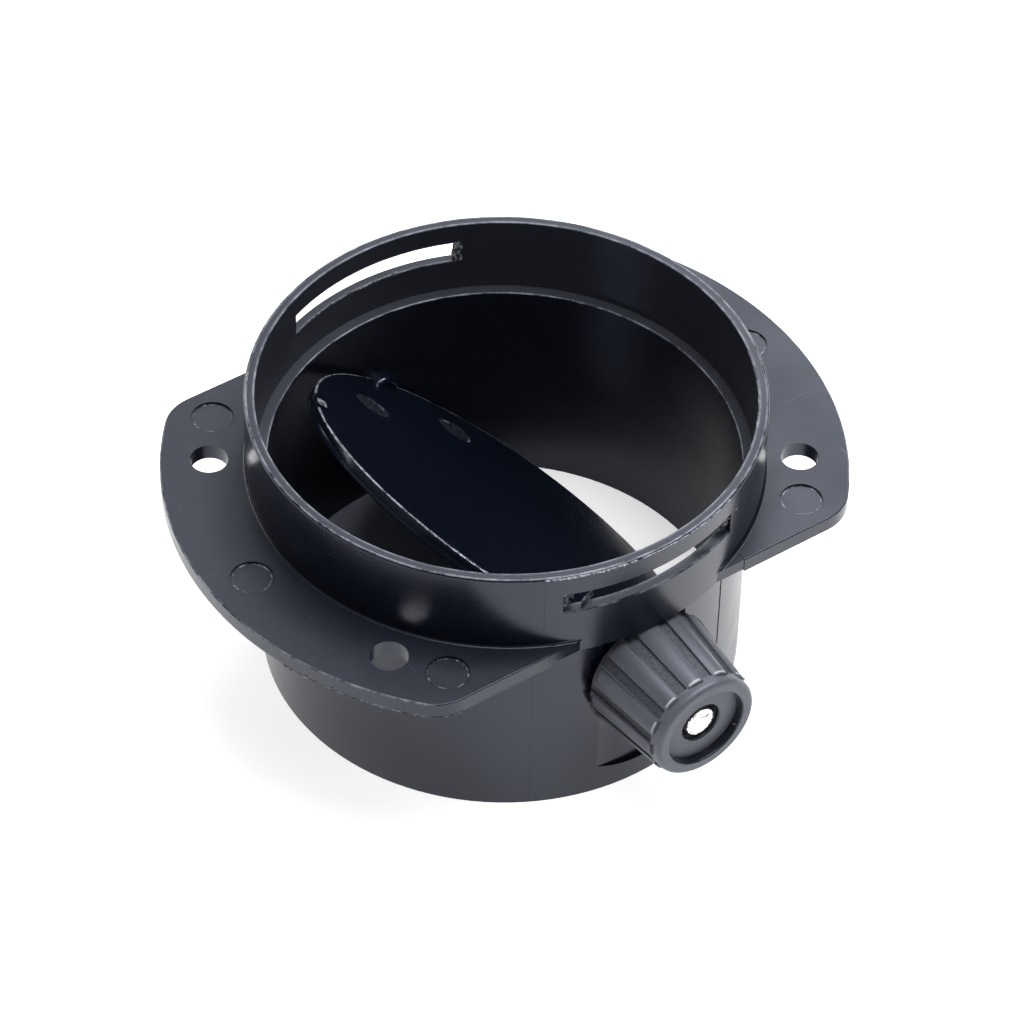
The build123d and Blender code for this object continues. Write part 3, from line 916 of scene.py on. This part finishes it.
def pick(piece, test):
    """Select the vertices of the piece in edit mode that pass a test."""
    bpy.ops.mesh.select_all(action="DESELECT")
    bpy.ops.object.mode_set(mode="OBJECT")
    for vertex in piece.data.vertices:
        vertex.select = test(vertex.co)
    bpy.ops.object.mode_set(mode="EDIT")


def thicken(piece, thickness):
    """Give an open sheet a thin wall."""
    wall = piece.modifiers.new("wall", "SOLIDIFY")
    wall.thickness = thickness
    bpy.ops.object.modifier_apply(modifier=wall.name)


def torn_strip(name, centre, radius, arc, reach, lift, seed, body, slot, material, upright=False):
    """Ragged film that stands out from an arc of a round edge."""
    start_piece()
    turn = (radians(90.0), 0.0, 0.0) if upright else (0.0, 0.0, 0.0)
    bpy.ops.mesh.primitive_circle_add(vertices=ARC_POINTS, radius=radius, location=centre,
                                      rotation=turn)
    piece = bpy.context.object
    bpy.ops.object.transform_apply(location=True, rotation=True, scale=True)
    middle = Vector(centre)
    start, end = (radians(a) for a in arc)

    def off_arc(point):
        away = point - middle
        angle = Vector((away.x, away.z if upright else away.y)).angle_signed(Vector((1.0, 0.0)))
        return not start <= angle <= end

    bpy.ops.object.mode_set(mode="EDIT")
    bpy.ops.mesh.select_mode(type="VERT")
    pick(piece, off_arc)
    bpy.ops.mesh.delete(type="VERT")
    bpy.ops.mesh.select_all(action="SELECT")
    wider = 1.0 + reach / radius / 2
    size = (wider, 1.0, wider) if upright else (wider, wider, 1.0)
    for share in (0.5, 1.0):
        bpy.ops.mesh.extrude_edges_move()
        bpy.ops.transform.resize(value=size, center_override=middle)
        bpy.ops.transform.translate(value=(0.0, 0.0, lift / 2))
        bpy.ops.transform.vertex_random(offset=abs(reach) * TEAR * share, seed=seed)
    bpy.ops.object.mode_set(mode="OBJECT")
    thicken(piece, FILM_T)
    settle(piece, name, body, material)


# %% Torn strips along round edges
RIM_CENTRE = (0.0, 0.0, 0.0608)
FLANGE_CENTRE = (0.0, 0.0, 0.04118)
CORNER_CENTRE = (-0.04011, -0.03615, 0.04118)
CORNER_R = 0.0089
KNOB_BASE_CENTRE, KNOB_BASE_R = (0.0, -0.0449, AXIS_Z), 0.01205
# Name, centre, radius, arc in degrees, how far it reaches out, and how far it lifts.
STRIPS = [
    ("rim_flash_front", RIM_CENTRE, 0.04735, (-117.0, -96.0), 0.00032, -0.0001),
    ("rim_flash_front_right", RIM_CENTRE, 0.04738, (-95.0, -68.0), 0.0002, -0.0001),
    ("rim_flash_inside", RIM_CENTRE, 0.04562, (-52.0, -20.0), -0.0002, 0.00005),
    ("flange_flash_ear", FLANGE_CENTRE, 0.06285, (-163.0, -139.0), 0.0002, -0.0001),
    ("flange_flash_corner", CORNER_CENTRE, CORNER_R, (-137.0, -88.0), 0.0002, -0.0001),
]
for seed, strip in enumerate(STRIPS):
    torn_strip(*strip, seed, "body", "housing", film_plastic)
torn_strip("knob_base_flash", KNOB_BASE_CENTRE, KNOB_BASE_R, (-168.0, -118.0), reach=0.0006,
           lift=0.0, seed=7, body="valve", slot="knob", material=knob_plastic, upright=True)

# %% [markdown]
# ## Gate mark on the flap
# The plastic entered the flap's mould at one spot near its upper edge. There the broken gate
# leaves a small square frame. A flat box is inset and its middle pressed in, in the flap's own
# level, and then tilted with the flap. Drawn flat first, it needs no tilted selections.

# %% Gate frame
GATE_PLACE = (-0.0341, 0.0233, AXIS_Z + 0.0013)
GATE_TURN = radians(-35.5)
GATE_SIZE = (0.0019, 0.0026, 0.00016)
GATE_CUTS = 5
FACES_UP = 0.9
GATE_WALL = 0.00022
GATE_DEEP = 0.00007
GATE_SHAKE = 0.00003


def gate_frame():
    """Small torn frame on the flap's upper face."""
    start_piece()
    bpy.ops.mesh.primitive_cube_add(size=1.0, location=GATE_PLACE, rotation=(0.0, 0.0, GATE_TURN))
    piece = bpy.context.object
    piece.scale = GATE_SIZE
    bpy.ops.object.transform_apply(location=True, rotation=True, scale=True)
    bpy.ops.object.mode_set(mode="EDIT")
    bpy.ops.mesh.select_mode(type="VERT")
    bpy.ops.mesh.select_all(action="SELECT")
    bpy.ops.mesh.subdivide(number_cuts=GATE_CUTS)
    bpy.ops.mesh.select_mode(type="FACE")
    bpy.ops.mesh.select_all(action="DESELECT")
    bpy.ops.object.mode_set(mode="OBJECT")
    for face in piece.data.polygons:
        face.select = face.normal.z > FACES_UP
    bpy.ops.object.mode_set(mode="EDIT")
    bpy.ops.mesh.inset(thickness=GATE_WALL)
    bpy.ops.transform.translate(value=(0.0, 0.0, -GATE_DEEP))
    bpy.ops.mesh.select_all(action="SELECT")
    bpy.ops.transform.vertex_random(offset=GATE_SHAKE, seed=3)
    bpy.ops.object.mode_set(mode="OBJECT")
    tilt = Matrix.Translation((0.0, 0.0, AXIS_Z)) @ Matrix.Rotation(FLAP_TILT, 4, "Y")
    piece.data.transform(tilt @ Matrix.Translation((0.0, 0.0, -AXIS_Z)))
    settle(piece, "flap_gate_frame", "valve", film_plastic)


gate_frame()

# %% [markdown]
# ## Film in the windows
# The side slides of the mould leave torn bits of film in both windows, where the slide met the
# inside wall. Each bit is a small grid, stretched, torn by shaking its points, and thickened.
# A cloth or a cut outline could be finer, but at this size only the ragged edge is seen.

# %% Torn bits in the windows
BIT_T = 0.00012
BIT_CUTS = (16, 6)
BIT_TEAR = 0.28
# Name, place, length, height, and turn in degrees.
BITS = [
    ("window_film_front_left", (-0.0165, -0.0424, 0.0536), 0.0042, 0.0022, 21.0),
    ("window_film_front_left_low", (-0.0128, -0.0436, 0.0527), 0.0030, 0.0012, 16.0),
    ("window_film_front_right", (0.0146, -0.0431, 0.0553), 0.0060, 0.0016, -18.0),
    ("window_film_front_right_low", (0.0165, -0.0424, 0.0530), 0.0030, 0.0014, -21.0),
    ("window_film_back_end", (0.0177, 0.0418, 0.0543), 0.0016, 0.0040, 158.0),
    ("window_film_back_sill", (0.0010, 0.0454, 0.0522), 0.0110, 0.0004, 179.0),
    ("window_film_back_sill_left", (-0.0120, 0.0439, 0.0522), 0.0080, 0.0004, 195.0),
]


def torn_bit(name, place, length, height, turn, seed):
    """Small upright sheet of film, torn along its edges."""
    start_piece()
    across, up = BIT_CUTS
    bpy.ops.mesh.primitive_grid_add(x_subdivisions=across, y_subdivisions=up, size=1.0,
                                    location=place, rotation=(radians(90.0), 0.0, radians(turn)))
    piece = bpy.context.object
    piece.scale = (length, height, 1.0)
    bpy.ops.object.transform_apply(location=True, rotation=True, scale=True)
    bpy.ops.object.mode_set(mode="EDIT")
    bpy.ops.mesh.select_all(action="SELECT")
    bpy.ops.transform.vertex_random(offset=min(length, height) * BIT_TEAR, seed=seed)
    bpy.ops.object.mode_set(mode="OBJECT")
    thicken(piece, BIT_T)
    settle(piece, name, "body", film_plastic)


for seed, bit in enumerate(BITS):
    torn_bit(*bit, seed)

# %% [markdown]
# ## Crowned lobes of the knob
# Between its grooves the knob has twelve lobes that are rounder than the plain cone of the
# solid, and each ends with a soft shoulder behind the smooth front ring. One lobe skin is cut
# from a long cylinder with bisect, its ends are bevelled, and copies are turned round the
# axis. Twelve deep scoops in the solid would give the same form, but thin skins are easier to
# change. The row of short bright dashes on the shoulders is a highlight painted in the knob's
# material.

# %% One lobe skin
CROWN_SIDES = 120
CROWN_R = 0.00424
CROWN_H = 0.0005
CROWN_PROUD = 0.00033
LOBE_LONG = 0.0160
LOBE_MIDDLE_Y = -0.0533
LOBE_MIDDLE_R = LOBE_BASE_R - (KNOB_BACK_Y - LOBE_MIDDLE_Y) * LOBE_TAPER
LOBE_SLOPE = radians(5.4)
LOBE_NARROW = 0.82
SHOULDER_ROUND = 0.00042
SHOULDER_STEPS = 4
TINY = 1e-6


def lobe_skin():
    """One crowned lobe on top of the knob, narrower towards the front."""
    start_piece()
    bpy.ops.mesh.primitive_cylinder_add(vertices=CROWN_SIDES, radius=CROWN_R, depth=LOBE_LONG,
                                        rotation=(radians(90.0), 0.0, 0.0))
    piece = bpy.context.object
    bpy.ops.object.transform_apply(location=True, rotation=True, scale=True)
    bpy.ops.object.mode_set(mode="EDIT")
    bpy.ops.mesh.select_all(action="SELECT")
    bpy.ops.mesh.bisect(plane_co=(0.0, 0.0, CROWN_R - CROWN_H), plane_no=(0.0, 0.0, 1.0),
                        clear_inner=True, use_fill=True)
    bpy.ops.mesh.select_mode(type="EDGE")
    bpy.ops.mesh.select_all(action="DESELECT")
    bpy.ops.object.mode_set(mode="OBJECT")
    corners = piece.data.vertices
    for edge in piece.data.edges:
        ends = [corners[i].co for i in edge.vertices]
        at_end = all(abs(abs(p.y) - LOBE_LONG / 2) < TINY for p in ends)
        edge.select = at_end and max(p.z for p in ends) > CROWN_R - CROWN_H + TINY
    bpy.ops.object.mode_set(mode="EDIT")
    bpy.ops.mesh.bevel(offset=SHOULDER_ROUND, segments=SHOULDER_STEPS)
    bpy.ops.mesh.select_mode(type="VERT")
    pick(piece, lambda point: point.y < 0.0)
    bpy.ops.transform.resize(value=(LOBE_NARROW, 1.0, 1.0), center_override=(0.0, 0.0, 0.0))
    bpy.ops.object.mode_set(mode="OBJECT")
    piece.location = (0.0, LOBE_MIDDLE_Y, LOBE_MIDDLE_R + CROWN_PROUD - CROWN_R)
    piece.rotation_euler = (LOBE_SLOPE, 0.0, 0.0)
    bpy.ops.object.transform_apply(location=True, rotation=True, scale=True)
    return piece


first_lobe = lobe_skin()
print("one lobe has", len(first_lobe.data.polygons), "faces")

# %% Twelve lobes round the knob
LOBES = 12
FIRST_LOBE_AT = 82.0
SMOOTH_BELOW = radians(35.0)


def turn_about_axis(piece, angle):
    """Turn the piece's points about the knob's axis and lift them to its height."""
    piece.data.transform(Matrix.Translation((0.0, 0.0, AXIS_Z)) @ Matrix.Rotation(angle, 4, "Y"))


lobe_pieces = [first_lobe]
for _ in range(LOBES - 1):
    copy = bpy.data.objects.new("lobe", first_lobe.data.copy())
    bpy.context.scene.collection.objects.link(copy)
    lobe_pieces.append(copy)
for index, piece in enumerate(lobe_pieces):
    turn_about_axis(piece, radians(FIRST_LOBE_AT - index * 360.0 / LOBES))
start_piece()
for piece in lobe_pieces:
    piece.select_set(True)
bpy.context.view_layer.objects.active = first_lobe
bpy.ops.object.join()
bpy.ops.object.shade_smooth_by_angle(angle=SMOOTH_BELOW)
settle(first_lobe, "knob_lobes", "valve", knob_plastic)

# %% [markdown]
# ## Hammered rivet end
# The rivet was closed with a punch, so the visible end is not the neat dome of the solid. It
# stands almost level with the knob's face and its edge is ragged. A cylinder is inset and its
# points are shaken to give the torn outline and the uneven top. A rough bump on the neat dome
# would leave its outline round.

# %% Rivet end
RIVET_END_R = 0.00285
RIVET_END_FROM, RIVET_END_TO = -0.0601, -0.0616
RIVET_END_SIDES = 72
LIP_W, LIP_DEEP = 0.0004, 0.00015
RING_W = 0.0008
HAMMERED = 0.00016


def rivet_end():
    """Ragged bright disc in front of the rivet's head."""
    start_piece()
    middle = (0.0, (RIVET_END_FROM + RIVET_END_TO) / 2, AXIS_Z)
    bpy.ops.mesh.primitive_cylinder_add(vertices=RIVET_END_SIDES, radius=RIVET_END_R,
                                        depth=RIVET_END_FROM - RIVET_END_TO, location=middle,
                                        rotation=(radians(90.0), 0.0, 0.0))
    piece = bpy.context.object
    bpy.ops.object.transform_apply(location=True, rotation=True, scale=True)
    bpy.ops.object.mode_set(mode="EDIT")
    bpy.ops.mesh.select_mode(type="VERT")
    pick(piece, lambda point: point.y < middle[1])
    bpy.ops.mesh.inset(thickness=LIP_W)
    bpy.ops.transform.translate(value=(0.0, -LIP_DEEP, 0.0))
    bpy.ops.mesh.inset(thickness=RING_W)
    pick(piece, lambda point: point.y < middle[1])
    bpy.ops.transform.vertex_random(offset=HAMMERED, seed=11)
    bpy.ops.object.mode_set(mode="OBJECT")
    settle(piece, "rivet_end", "valve", steel)


rivet_end()

# %% [markdown]
# ## Crumbs
# A few crumbs of torn plastic still cling to the flange, the sills, the rim and the knob. Each
# is a small sphere, squashed, shaken and turned differently from the last. Scattered particles
# would be quicker, but a crumb has to lie where the photo shows it.

# %% Crumbs of plastic
HOUSING_CRUMBS = [
    (-0.0538, -0.0323, 0.0413, 0.00030), (-0.0587, -0.0232, 0.0413, 0.00016),
    (-0.0567, -0.0281, 0.0412, 0.00018), (-0.0509, -0.0371, 0.0412, 0.00016),
    (-0.0476, -0.0413, 0.0412, 0.00014), (-0.0010, -0.0475, 0.0523, 0.00022),
    (0.0198, -0.0432, 0.0563, 0.00022), (-0.0150, 0.0432, 0.0523, 0.00020),
    (0.0039, 0.0453, 0.0523, 0.00020), (0.0420, -0.0212, 0.0608, 0.00014),
    (0.0447, -0.0131, 0.0608, 0.00012),
]
KNOB_CRUMBS = [(0.0072, -0.0626, 0.0252, 0.00042), (0.0083, -0.0629, 0.0238, 0.00028),
               (0.0103, -0.0452, 0.0355, 0.00036)]
CRUMB_SQUASH = (1.3, 0.9, 0.6)
CRUMB_TURN = Vector((0.7, 1.3, 0.4))
CRUMB_SHAKE = 0.35


def crumbs(name, places, body, material):
    """One object of small ragged crumbs, each given as x, y, z and radius."""
    start_piece()
    made = []
    for number, (x, y, z, radius) in enumerate(places):
        bpy.ops.mesh.primitive_ico_sphere_add(subdivisions=2, radius=radius, location=(x, y, z))
        crumb = bpy.context.object
        crumb.rotation_euler = CRUMB_TURN * number
        crumb.scale = CRUMB_SQUASH
        bpy.ops.object.mode_set(mode="EDIT")
        bpy.ops.transform.vertex_random(offset=radius * CRUMB_SHAKE, seed=number)
        bpy.ops.object.mode_set(mode="OBJECT")
        made.append(crumb)
    for crumb in made:
        crumb.select_set(True)
    bpy.ops.object.join()
    settle(bpy.context.object, name, body, material)


crumbs("housing_crumbs", HOUSING_CRUMBS, "body", film_plastic)
crumbs("knob_crumbs", KNOB_CRUMBS, "valve", knob_plastic)
